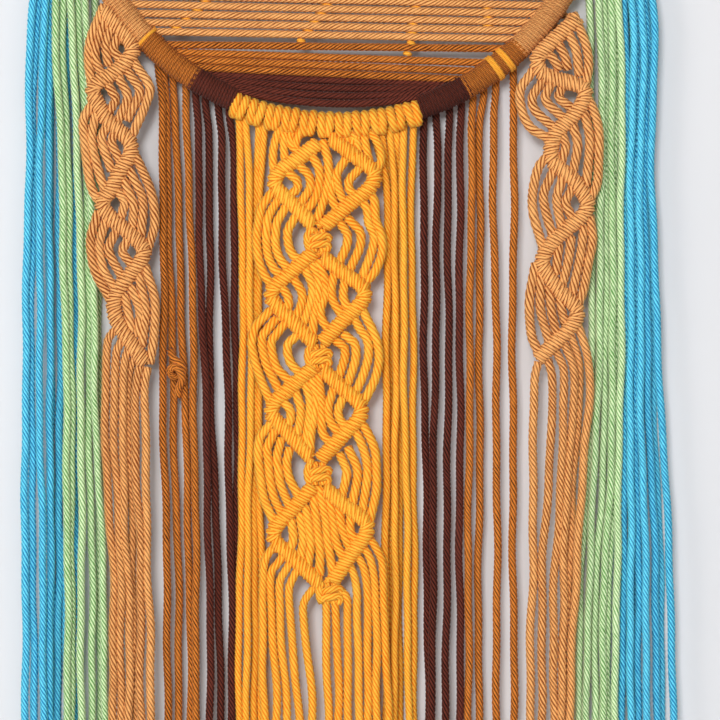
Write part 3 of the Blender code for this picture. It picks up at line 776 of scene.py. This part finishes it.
# %% Slack cords
# each strand: the x and drop of the places it passes, from the top down. The middle ones go
# diamond by diamond: inside it, then left and right of it
MIDDLE_STRANDS = (
    (-23.2, 150.2, -19.2, 153.7, -19.1, 157.7, -22.6, 160.5),
    (-17.4, 147.3, -13.5, 151.4, -12.9, 157.1, -16.3, 162.8),
    (-11.7, 142.7, -8.8, 147.9, -8.6, 155.9, -10.6, 162.3, -13.4, 166.3),
    (-6.3, 137.6, -4.5, 143.9, -4.2, 152.5, -5.7, 160.5, -8.8, 169.7),
    (-1.7, 154.8, -3.1, 160.5, -0.2, 167.4), (2.6, 145.6, -0.1, 150.2, 0.1, 155.9, 2.1, 161.7, 4.9, 165.7),
    (9, 149.6, 5.6, 153.7, 5.6, 157.7, 9.5, 162.3),
    (-31.8, 160.5, -35.8, 166.3, -37.5, 174.3, -38.2, 181.5, -37.2, 191.2, -34.7, 198.1, -31.8, 202.2),
    (-28.9, 164, -32.7, 170.9, -33.4, 175.8, -33.6, 182.6, -32.7, 189.5, -30.1, 195.3, -27.2, 198.1),
    (-25.5, 168, -28.6, 173.7, -29.2, 178, -29.3, 183.8, -27.5, 190.1, -24, 194.7),
    (-20.9, 172.6, -23.2, 176.6, -23.6, 179.2, -22.9, 184.9, -20.9, 189, -18.6, 190.7),
    (2.6, 175.8, 4.7, 179.2, 4.4, 184.4, 1.5, 191.2), (6.7, 173.5, 10.7, 178, 10.7, 184.9, 6.7, 194.1),
    (11.5, 163, 14.1, 167.4, 14.7, 173.5, 17.3, 179.8, 16.4, 186.7, 12.4, 197.6),
    (15.8, 160, 17.6, 164, 18.1, 172.3, 20.7, 179.2, 21.1, 187.8, 17.6, 197, 14.1, 201),
    (-26.1, 204.4, -23.5, 208.5, -23.2, 213.1, -25.5, 217.1),
    (-19.7, 201.6, -16.8, 206.7, -16.9, 211.9, -19.7, 218.8),
    (-14.6, 197, -12, 202.7, -12.2, 209.6, -15.2, 218.8),
    (-11.7, 193.5, -9, 199.9, -8.8, 207.9, -10.8, 217.1, -11.7, 225.1),
    (-8.3, 194.1, -6, 201, -5.7, 207.9, -8, 214.8, -6.8, 220.5, -2.5, 225.7),
    (-1.9, 199.3, -2.8, 205.6, -1.7, 211.3, 3.2, 218.8), (3.2, 203.3, 2.8, 208.5, 4.4, 213.1, 7.8, 215.4),
    (-33.5, 217.1, -38.7, 222.8, -40.5, 229.7, -40.1, 234.3, -38.1, 242.3, -35.2, 250.4, -32.4, 256.7),
    (-30.6, 221.1, -35.1, 226.8, -35.7, 229.1, -35.1, 234.9, -33.2, 241.8, -28.9, 250.4),
    (-26.1, 222.8, -30, 228, -31.2, 229.7, -30.8, 235.4, -28.6, 242.3, -23.8, 247.5),
    (-20.9, 228.6, -23.2, 230.8, -23.6, 234.9, -22, 240, -18.6, 244),
    (0.9, 230.8, 3.2, 232.6, 3.5, 237.2, 2.1, 242.3, 0.3, 247.5),
    (4.9, 228, 8.1, 230.8, 8.7, 237.2, 6.7, 244.6, 4.4, 250.9),
    (8.2, 219.5, 10.7, 224, 14.1, 229.1, 14.7, 236.6, 12.4, 245.2, 9, 253.2),
    (11.8, 214.5, 13.5, 218.2, 17.6, 226.8, 19.3, 232.6, 19.6, 239.5, 17.6, 248.1, 12.4, 258.4),
    (-24.9, 259, -22.3, 262.4, -22.3, 267, -24.3, 271),
    (-19.2, 255.5, -17.4, 261.3, -17.9, 268.7, -19.7, 275.6),
    (-14.6, 251.5, -12.9, 257.8, -13.7, 268.2, -15.4, 277.9),
    (-11.7, 249.2, -9.9, 255.5, -10.8, 264.7, -12.6, 273.9, -12.9, 280.2),
    (-8.8, 248.1, -7.6, 257.8, -7.4, 265.9, -6.8, 273.3, -1.9, 279.6),
    (-2.5, 254.4, -4.4, 261.3, -3.1, 268.2, 2.1, 274.5), (2.1, 257.8, 0.3, 263, 2.1, 268.2, 6.7, 271),
    (-32.9, 270.5, -36.7, 275.6, -37.5, 283.7, -37, 289.4, -35, 303.2, -32.1, 310.6, -29.5, 315.8),
    (-30.6, 274.5, -33.2, 280.2, -32.7, 285.9, -32.1, 293.4, -30.1, 303.2, -26.1, 311.8),
    (-27.2, 278.5, -28.6, 284.8, -28.1, 289.4, -26.9, 297.4, -23.2, 306.6),
    (-23.2, 283.1, -24, 287.1, -22.9, 294, -19.2, 301.4), (2.1, 285.4, 4.1, 290, 4.4, 292.8, 2.6, 301.4),
    (6.1, 282.5, 9, 288.8, 9.5, 294, 7.2, 306),
    (8.6, 272.5, 11.3, 277.9, 13.8, 286.5, 14.1, 294, 11.8, 310.1),
    (10.8, 268, 13.5, 271.6, 17.6, 280.8, 18.4, 289.4, 18.4, 300.3, 15.3, 314.6),
    (-21.5, 316.9, -20.8, 322.7, -22, 327.8), (-17.4, 314.1, -16.2, 322.7, -17.2, 331.3),
    (-14.6, 310.6, -13.3, 318.1, -12.7, 327.3, -14, 335.3),
    (-11.1, 305.5, -9.5, 318.1, -8.3, 328.4, -8.3, 337.6),
    (-8.3, 301.4, -5.7, 313.5, -4.7, 323.3, -2.5, 337.6), (-3.7, 305.5, -1.8, 315.8, -0.5, 325, 3.2, 333),
    (0.9, 309.5, 2.2, 318.1, 6.1, 328.4), (6.1, 314.1, 6.2, 319.8, 9.5, 325.5),
)
FROM_HEADING = (
    (-27.2, 128.4, -29.5, 135.3, -30.5, 142.2, -30.1, 149.1), (-24.9, 129.5, -25.4, 136.4, -24.9, 143.9),
    (-19.7, 128.4, -22.3, 132.4, -21.5, 137.6, -17.4, 139.9),
    (-16.3, 127.8, -18.6, 133, -19.7, 138.2, -16.3, 142.2), (3.2, 129.5, 4.9, 133, 3.2, 137.6),
    (6.7, 130.7, 9.5, 136.4, 10.1, 143.3), (12.4, 130.1, 13.5, 137.6, 15.3, 145.6),
    (14.7, 129.5, 19.3, 136.4, 20.7, 143.9, 17.6, 150.2), (11.3, 130.7, 6.7, 136.4, 4.9, 141),
)
SIDE_STRANDS = {
    "left": (
        (-111.4, 73.8, -116.6, 87.1, -117.6, 96.5, -116.6, 105.1),
        (-108.6, 75.7, -113.8, 89.4, -114.3, 96.5, -111.4, 103.6),
        (-106.7, 81.4, -109.5, 89.4, -108.6, 96.5), (-103.8, 86.1, -105.7, 91.8, -102.9, 96.5),
        (-94.8, 99.9, -88.7, 109.8, -90.6, 117.9, -95.8, 129.7), (-98.2, 103.6, -93.4, 111.7, -98.2, 122.6),
        (-102.9, 106, -99.1, 114.5, -102.9, 124), (-107.6, 109.8, -104.8, 115.5, -106.7, 119.3),
        (-116.1, 117.9, -119.9, 125, -119.5, 134.4, -117.1, 153.4, -114.7, 160.5, -112, 163.8),
        (-113.8, 121.2, -116.1, 134.4, -112.4, 151, -109.5, 159),
        (-108.6, 127.3, -111.4, 134.4, -107.6, 146.3), (-104.3, 130.6, -106.7, 135.4, -103.8, 142.5),
        (-96.5, 140.5, -93.4, 146.3, -87.7, 160.5, -86.3, 174.7, -88.7, 183.2),
        (-97.2, 151, -92, 162.8, -92.5, 177), (-100.1, 155.7, -96.3, 165.2, -96.7, 173.7),
        (-103.8, 159, -100.5, 163.8, -101.5, 168.5),
        (-113.8, 171.4, -116.6, 181.8, -114.7, 196, -108.6, 207.8),
        (-110, 174.7, -112.4, 184.1, -110.5, 196, -106.2, 203.1),
        (-105.3, 179.4, -108.1, 186.5, -102.4, 198.3), (-99.1, 181.8, -101.5, 187.5, -98.2, 192.2),
        (-90.1, 196.9, -86.3, 210.2, -86.8, 229.1, -88.2, 237.2), (-93.4, 200.7, -90.6, 214.9, -92, 229.1),
        (-96.7, 206.4, -93.4, 214.9, -93.9, 224.4), (-100.1, 210.2, -97.7, 222),
    ),
    "right": (
        (112.6, 77.6, 117.3, 89.4, 118.7, 98.9, 117.8, 106), (108.8, 83.3, 112.6, 91.8, 114, 101.3),
        (104.5, 89.4, 107.3, 94.7, 108.3, 98.4), (99.8, 94.2, 102.1, 96.5, 103.6, 98.9),
        (91.2, 103.6, 86.5, 110.8, 87, 120.2, 91.2, 128.7, 98.3, 133),
        (96, 108.4, 92.2, 114.1, 93.1, 120.2, 102.1, 128.7), (100.7, 108.4, 98.3, 115.5, 105.9, 123.5),
        (105.4, 111.7, 104.5, 114.5, 109.7, 118.8),
        (117.5, 113.8, 120.6, 119.3, 123.4, 129.7, 123.4, 146.3, 122.6, 155.7, 119.8, 161.8),
        (117.3, 124, 119.2, 134.4, 117.8, 153.4), (111.6, 128.7, 113.5, 136.8, 111.6, 148.6),
        (106.4, 132.1, 107.8, 137.7, 106.4, 142.9),
        (100, 141.5, 95, 147.7, 92.2, 160.5, 92.7, 169.9, 96.5, 183.2),
        (101.2, 151, 97.4, 160.5, 98.8, 169.9, 101.7, 179.4), (105.9, 154.3, 103.6, 162.8, 105.4, 173.3),
        (110.2, 159, 107.8, 164.3, 110.2, 169.9),
        (119.7, 173.3, 120.6, 181.8, 118.7, 192.2, 116.3, 205.5, 113.9, 212),
        (116.3, 178, 114.9, 188.9, 111.6, 204.5), (110.2, 183.2, 109.2, 191.2, 106.9, 200.7),
        (104.5, 186.5, 104, 190.3, 103.6, 195), (93.1, 196, 90.8, 210.2, 91.7, 226.8, 95, 234.8),
        (96, 200.7, 96, 214.9, 99.8, 229.1), (100.2, 206.4, 101.2, 215.9, 103.1, 224.4),
        (105.4, 211.6, 105.9, 214.9, 106.9, 218.7),
    ),
}
SLACK = 1.24
SLACK_FROM_HEADING = 1.15
SLACK_LAY = 19.0
UNDER_A_BAR = 3.0
# a slack cord's ends lie this far behind its panel's depth, its middle this far before them
ENDS_BEHIND, BOW = 0.9, 1.1


def slack_cord(places, depth, thickness=SLACK):
    """A smooth cord through its places, led straight on at both ends to lie under the bars."""
    flat = np.reshape(places, (-1, 2))
    first, last = unit(flat[0] - flat[1]), unit(flat[-1] - flat[-2])
    flat = np.concatenate(([flat[0] + UNDER_A_BAR * first], flat, [flat[-1] + UNDER_A_BAR * last]))
    bow = np.sin(np.linspace(0.0, np.pi, len(flat)))
    path = smooth_path(place(flat[:, 0], flat[:, 1], depth + ENDS_BEHIND - BOW * bow), step=1.5)
    return rope(path, thickness=thickness, lay=SLACK_LAY)


print("slack cords:", sum(map(len, (MIDDLE_STRANDS, FROM_HEADING, *SIDE_STRANDS.values()))))

# %% [markdown]
# ## Square knots
#
# Where two diamonds meet, two cords are tied round the others in a square knot: an upright
# stand at the left, two crossings, and a bend at the right of each.

# %% The knots between diamonds
KNOTS = ((-8.9, 182.0), (-8.6, 236.8), (-8.8, 292.2), (-3.2, 348.6))
KNOT_SIZE = 0.88
# each strand of a knot: x and drop from the knot's middle, and depth in front of the panel
KNOT = (
    ((-4.2, -5.6, 0.6), (-6, -2.4, 1.2), (-6, 2, 1.2), (-4.6, 5.4, 0.4)),
    ((-5, 0.6, -0.4), (-3, -1, 1.8), (1, -1.9, 2.3), (4.2, -2.6, 1.2), (5.8, -0.8, 0.2), (4, 0.6, -0.8)),
    ((-5, 4.4, -0.4), (-3.2, 2.7, 1.6), (0.8, 2.2, 2.2), (4, 1.6, 1.6), (5.4, 3.4, 0.6), (3.8, 5.8, 0)),
    ((-2, -6.4, 0), (-1.8, 0, -0.4), (-2.4, 6.4, 0)),
    ((2.4, -6.2, 0), (2, 0, -0.4), (2, 6.4, 0)),
)


def square_knot(x, drop, depth):
    """The knot's strands, drawn a little smaller and moved to its place."""
    made = []
    for strand in KNOT:
        right, down, front = (np.array(strand) * KNOT_SIZE).T
        path = smooth_path(place(x + right, drop + down, depth - front), step=1.3)
        made.append(rope(path, lay=SLACK_LAY))
    return made


print("square knots:", len(KNOTS))

# %% [markdown]
# ## Ends of the panels
#
# Below the last bar every working cord hangs free to the trimmed edge. The knots have bent
# it, so it wanders more than a cord that only hangs.

# %% Free ends
# places of each free end on its way down; the last x is kept to the cut
MIDDLE_ENDS = (
    (-29.5, 326.1, -34.1, 333, -35.2, 343.3, -35.8, 357, -34.1, 409),
    (-25, 329, -27.2, 333.6, -31.2, 339.3, -31.2, 357, -29.1, 409),
    (-21.2, 332.2, -23.8, 337, -27.2, 343.3, -26.9, 357, -24, 409),
    (-17.5, 335.6, -20.3, 340.5, -22.6, 346.2, -22.3, 357, -18.6, 409),
    (-9.7, 344.9, -15.2, 351.9, -16.3, 357, -12, 409), (-5.6, 350, -5.2, 357, -4.6, 409),
    (-1.6, 350, -1, 357, 0.7, 409), (-0.7, 345.3, 4.3, 350.8, 4.9, 357, 5.2, 409),
    (4.6, 333.5, 7.8, 339.9, 9.5, 349, 9.5, 357, 9.9, 409),
    (7.8, 329.2, 11.8, 335.3, 13.5, 343.3, 14.1, 357, 15, 409),
    (10.6, 325.2, 15.2, 331.9, 17.5, 343.3, 17.8, 357, 19.1, 409),
    (13.4, 321.4, 17.5, 326.1, 21.5, 334.7, 22.1, 357, 23.5, 409),
)
SIDE_ENDS = {
    "left": (
        (-104.2, 223, -108.6, 230, -109.5, 262.5, -105.8, 366.5),
        (-101.4, 228.6, -104.4, 235, -105.3, 262.5, -102.2, 366.5),
        (-98.4, 232.4, -100.7, 240, -101.7, 262.5, -98.6, 366.5),
        (-95.2, 236, -98.2, 244, -99.1, 262.5, -96.3, 366.5),
        (-93, 240, -94.5, 247, -95.5, 262.5, -92.8, 366.5),
        (-89.5, 242, -90.9, 249, -91.2, 262.5, -88.8, 366.5),
    ),
    "right": (
        (95, 239.5, 93.2, 247, 93, 262.5, 91.7, 366.5),
        (99.4, 238.3, 101.4, 246, 101.2, 262.5, 96.5, 366.5),
        (103.1, 234, 107, 243, 106.8, 262.5, 102.3, 366.5),
        (106.9, 230, 111.6, 243, 110.9, 262.5, 106.2, 366.5),
        (110, 226, 114.2, 240, 114.1, 262.5, 108.3, 366.5),
        (113, 219.5, 118.2, 238, 118.7, 262.5, 111.1, 366.5),
    ),
}
# the free ends that hang behind the others, and by how much
BEHIND_AT_SIDES = {"left": 3, "right": 4}
BEHIND = 3.4
# under its bar a free end lies this far behind its panel's depth
UNDER_LAST_BAR = 0.8
END_WANDER, END_THICKNESS, END_LAY = 0.6, 1.1, 17.0


def panel_end(number, places, depth, behind=0.0):
    """A free end: through its places, then down to the cut."""
    flat = np.reshape(places, (-1, 2))
    x, drop = np.append(flat[:, 0], flat[-1, 0]), np.append(flat[:, 1], trim(number))
    y = depth + np.where(np.arange(len(x)) == 0, UNDER_LAST_BAR, behind)
    path = wander(smooth_path(place(x, drop, y)), size=END_WANDER)
    return rope(thinned(path), thickness=END_THICKNESS, lay=END_LAY)


print("free ends of the panels:", len(MIDDLE_ENDS) + sum(map(len, SIDE_ENDS.values())))

# %% [markdown]
# ## The panels put together
#
# The middle panel hangs from its heading. A side panel's cords come from behind the hoop: a
# strip there, and four short links round its lower edge, stand for knots that are out of view.

# %% The middle panel
ropes = heading("panel_orange")
for number, places in enumerate(DIAMONDS):
    ropes += bar(places, ORANGE_DEPTH + BAR_CROSSING * (-1) ** number, "orange")
ropes += [slack_cord(places, ORANGE_DEPTH) for places in MIDDLE_STRANDS]
ropes += [slack_cord(places, ORANGE_DEPTH + 1.0, thickness=SLACK_FROM_HEADING) for places in FROM_HEADING]
for x, drop in KNOTS:
    ropes += square_knot(x, drop, ORANGE_DEPTH)
ropes += [panel_end(number, places, ORANGE_DEPTH) for number, places in enumerate(MIDDLE_ENDS)]
make_piece("rope_panel_orange", ropes, COTTON["orange"], "panel_orange")

# %% The side panels
# angles of the strip behind the hoop, and of the first and last link from it
STRIP, LINKS = (45.6, 56.0), (46.3, 55.3)
# a link seen from the side: radius outside the hoop's own, and depth
LINK_SIDE = ((0.0, 7.7), (6.5, 7.7), (9.3, 4.6), (9.0, TAN_DEPTH))

for half, side in (("left", -1), ("right", 1)):
    ropes = bar(ZIGZAGS[half], TAN_DEPTH, "tan")
    ropes += [slack_cord(places, TAN_DEPTH) for places in SIDE_STRANDS[half]]
    ropes.append(rope(smooth_path(on_hoop(side * np.linspace(*STRIP, 7), y=ROOTS["inner"][0]))))
    outside, depth = np.array(LINK_SIDE).T
    for angle in side * np.linspace(*LINKS, 4):
        ropes.append(rope(smooth_path(on_hoop(angle, HOOP_RADIUS + outside, depth))))
    for number, places in enumerate(SIDE_ENDS[half]):
        behind = BEHIND if number == BEHIND_AT_SIDES[half] else 0.0
        ropes.append(panel_end(number, places, TAN_DEPTH, behind))
    make_piece("rope_panel_tan_" + half, ropes, COTTON["tan"], "panel_tan_" + half)

# %% [markdown]
# ## Orange threads
#
# Thin orange threads tie the tan rows together in four places, seen only as short dashes
# between the rows and below the lowest of them, and a few turns of orange are wound over the
# hoop where bands meet. A long stitched thread would be hidden but for these dashes, so each
# dash is a piece of its own, its ends turned back.

# %% Ties between the rows and turns on the hoop
# each dash: the tan row it lies above, counted from the lowest, and its x
TIES = (
    (0, -76.2), (1, -71.6), (2, -66.4), (3, -62.6), (-1, -17.2), (0, -13.9), (1, -10.6), (2, -7.7),
    (3, -4.9), (-1, 34.9), (0, 35.4), (1, 35.8), (3, 37.3), (1, 71.4), (2, 71.6), (3, 71.2), (-2, 33.2),
)
# a dash below the lowest row, or below the rust row next to it: drop from the lowest row
TIE_BELOW = {-1: 2.9, -2: 8.0}
# a dash seen from the side: x, drop and depth from its middle
TIE_SIDE = ((-2.4, -0.5, 2.4), (-1.3, -0.2, 0.7), (0, 0, 0.2), (1.3, 0.2, 0.7), (2.4, 0.5, 2.4))
# share of that length, way forward and thickness: between two tan rows, and in wider gaps
TIE_BETWEEN, TIE_IN_GAP = (1.0, 0.0, 0.36), (0.55, 0.9, 0.56)
# the tan rows reach this far to either side
TAN_REACH = 88
# turns on the hoop: first and last angle
TURNS = ((-46.7, -46.0), (35.9, 37.3), (38.8, 40.2), (58.6, 59.4))
TURN_RADIUS = 6.05
TURN_PITCH = 1.3


def tie(number, x):
    """A dash of thread half-way between two rows, or below them, its ends turned back."""
    below = TIE_BELOW.get(number, 0.0)
    left, right, _ = row_ends("tan", max(number + 0.5, 0.0))
    drop = left + (right - left) * (x + TAN_REACH) / (2 * TAN_REACH) + below
    length, front, thickness = TIE_IN_GAP if below else TIE_BETWEEN
    spots = [place(x + length * a, drop + length * b, y - front) for a, b, y in TIE_SIDE]
    return rope(smooth_path(spots, step=0.8), thickness=thickness, section=THREAD_SECTION)


threads = [tie(number, x) for number, x in TIES]
for first, last in TURNS:
    core = on_hoop(np.linspace(first, last, 6))
    threads.append(wraps(core, TURN_RADIUS, TURN_PITCH, per_turn=24, **THREAD))
make_piece("orange_threads", threads, COTTON["orange"])

print("triangles in all:", sum(triangles_made.values()))

# %% [markdown]
# ## The studio
#
# The piece hangs just off a pale wall, over a pale floor, in soft light from in front and
# from the left, low enough that the cords shade one another only a little.

# %% Wall and floor
WALL_BACK = 14.8
WALL_HALF, WALL_TOP, FLOOR_HALF, FLOOR = 1.4, 1.2, 3.0, -0.95


def board(name, corners, finish):
    """A flat square of the studio."""
    mesh = bpy.data.meshes.new(name)
    mesh.from_pydata(corners, [], [(0, 1, 2, 3)])
    piece = new_object(name, mesh, finish)


def plaster(name, one_sided):
    """Pale matt paint with a faint unevenness; seen from behind, a one-sided wall isn't there."""
    made, tree, shader = fresh_material(name)
    spot = add(tree, "ShaderNodeTexCoord").outputs["Object"]
    cloud = add(tree, "ShaderNodeTexNoise", Vector=spot, Scale=6.0, Detail=2.0).outputs["Fac"]
    tone = add(
        tree, "ShaderNodeMix", {"data_type": "RGBA"}, i0=cloud, i6=linear("#E8E7E8"), i7=linear("#E2E2E4")
    ).outputs[2]
    tree.links.new(tone, shader.inputs["Base Color"])
    shader.inputs["Roughness"].default_value = 0.9
    if one_sided:
        clear = add(tree, "ShaderNodeBsdfTransparent").outputs[0]
        behind = add(tree, "ShaderNodeNewGeometry").outputs["Backfacing"]
        either = add(tree, "ShaderNodeMixShader", i0=behind, i1=shader.outputs[0], i2=clear)
        tree.links.new(either.outputs[0], tree.nodes["Material Output"].inputs["Surface"])
    return made


around = ((-1, -1), (1, -1), (1, 1), (-1, 1))
middle, half = (WALL_TOP + FLOOR) / 2, (WALL_TOP - FLOOR) / 2
wall = [(x * WALL_HALF, WALL_BACK * MM, middle + z * half) for x, z in around]
board("studio_wall", wall, plaster("painted_plaster", True))
ground = [(x * FLOOR_HALF, y * FLOOR_HALF, FLOOR) for x, y in around]
board("studio_floor", ground, plaster("pale_floor", False))
print("the wall is", WALL_BACK, "mm behind the middle of the wire")

# %% Light and camera
ROOM_COLOUR, ROOM_STRENGTH = (0.93, 0.94, 0.96, 1.0), 0.19
LIT = (0.0, 0.0, -0.35)
# lamp: place, size, power
LAMPS = {
    "window_front": ((-0.3, -2.1, 0.1), 0.55, 24.5),
    "window_left": ((-1.5, -1.5, 0.1), 0.8, 9.0),
    "pale_room_front": ((0.4, -2.2, 0.2), 2.0, 9.0),
}
# the photograph looks straight at the wall, is this wide at the hoop, and has this x and z
# in its middle
SEEN_WIDTH = 0.3409
SEEN_MIDDLE = (0.0107, -0.3621)
LENS, SENSOR = 150.0, 36.0

scene = bpy.context.scene
scene.view_settings.view_transform = "Standard"
world = bpy.data.worlds.new("pale_room")
world.use_nodes = True
world.node_tree.nodes["Background"].inputs["Color"].default_value = ROOM_COLOUR
world.node_tree.nodes["Background"].inputs["Strength"].default_value = ROOM_STRENGTH
scene.world = world


def soft_light(name, where, size, power):
    """A square lamp at a place, turned to face the hanging."""
    lamp = bpy.data.lights.new(name, "AREA")
    lamp.size, lamp.energy = size, power
    holder = bpy.data.objects.new(name, lamp)
    holder.location = where
    holder.rotation_euler = (Vector(LIT) - Vector(where)).to_track_quat("-Z", "Z").to_euler()
    scene.collection.objects.link(holder)


for name, (where, size, power) in LAMPS.items():
    soft_light(name, where, size, power)

eye = bpy.data.cameras.new("camera")
eye.lens, eye.sensor_width = LENS, SENSOR
camera = bpy.data.objects.new("camera", eye)
camera.location = (SEEN_MIDDLE[0], -SEEN_WIDTH * LENS / SENSOR, SEEN_MIDDLE[1])
camera.rotation_euler = (math.pi / 2, 0.0, 0.0)
scene.collection.objects.link(camera)
scene.camera = camera
print("the camera stands", -camera.location.y, "m off")
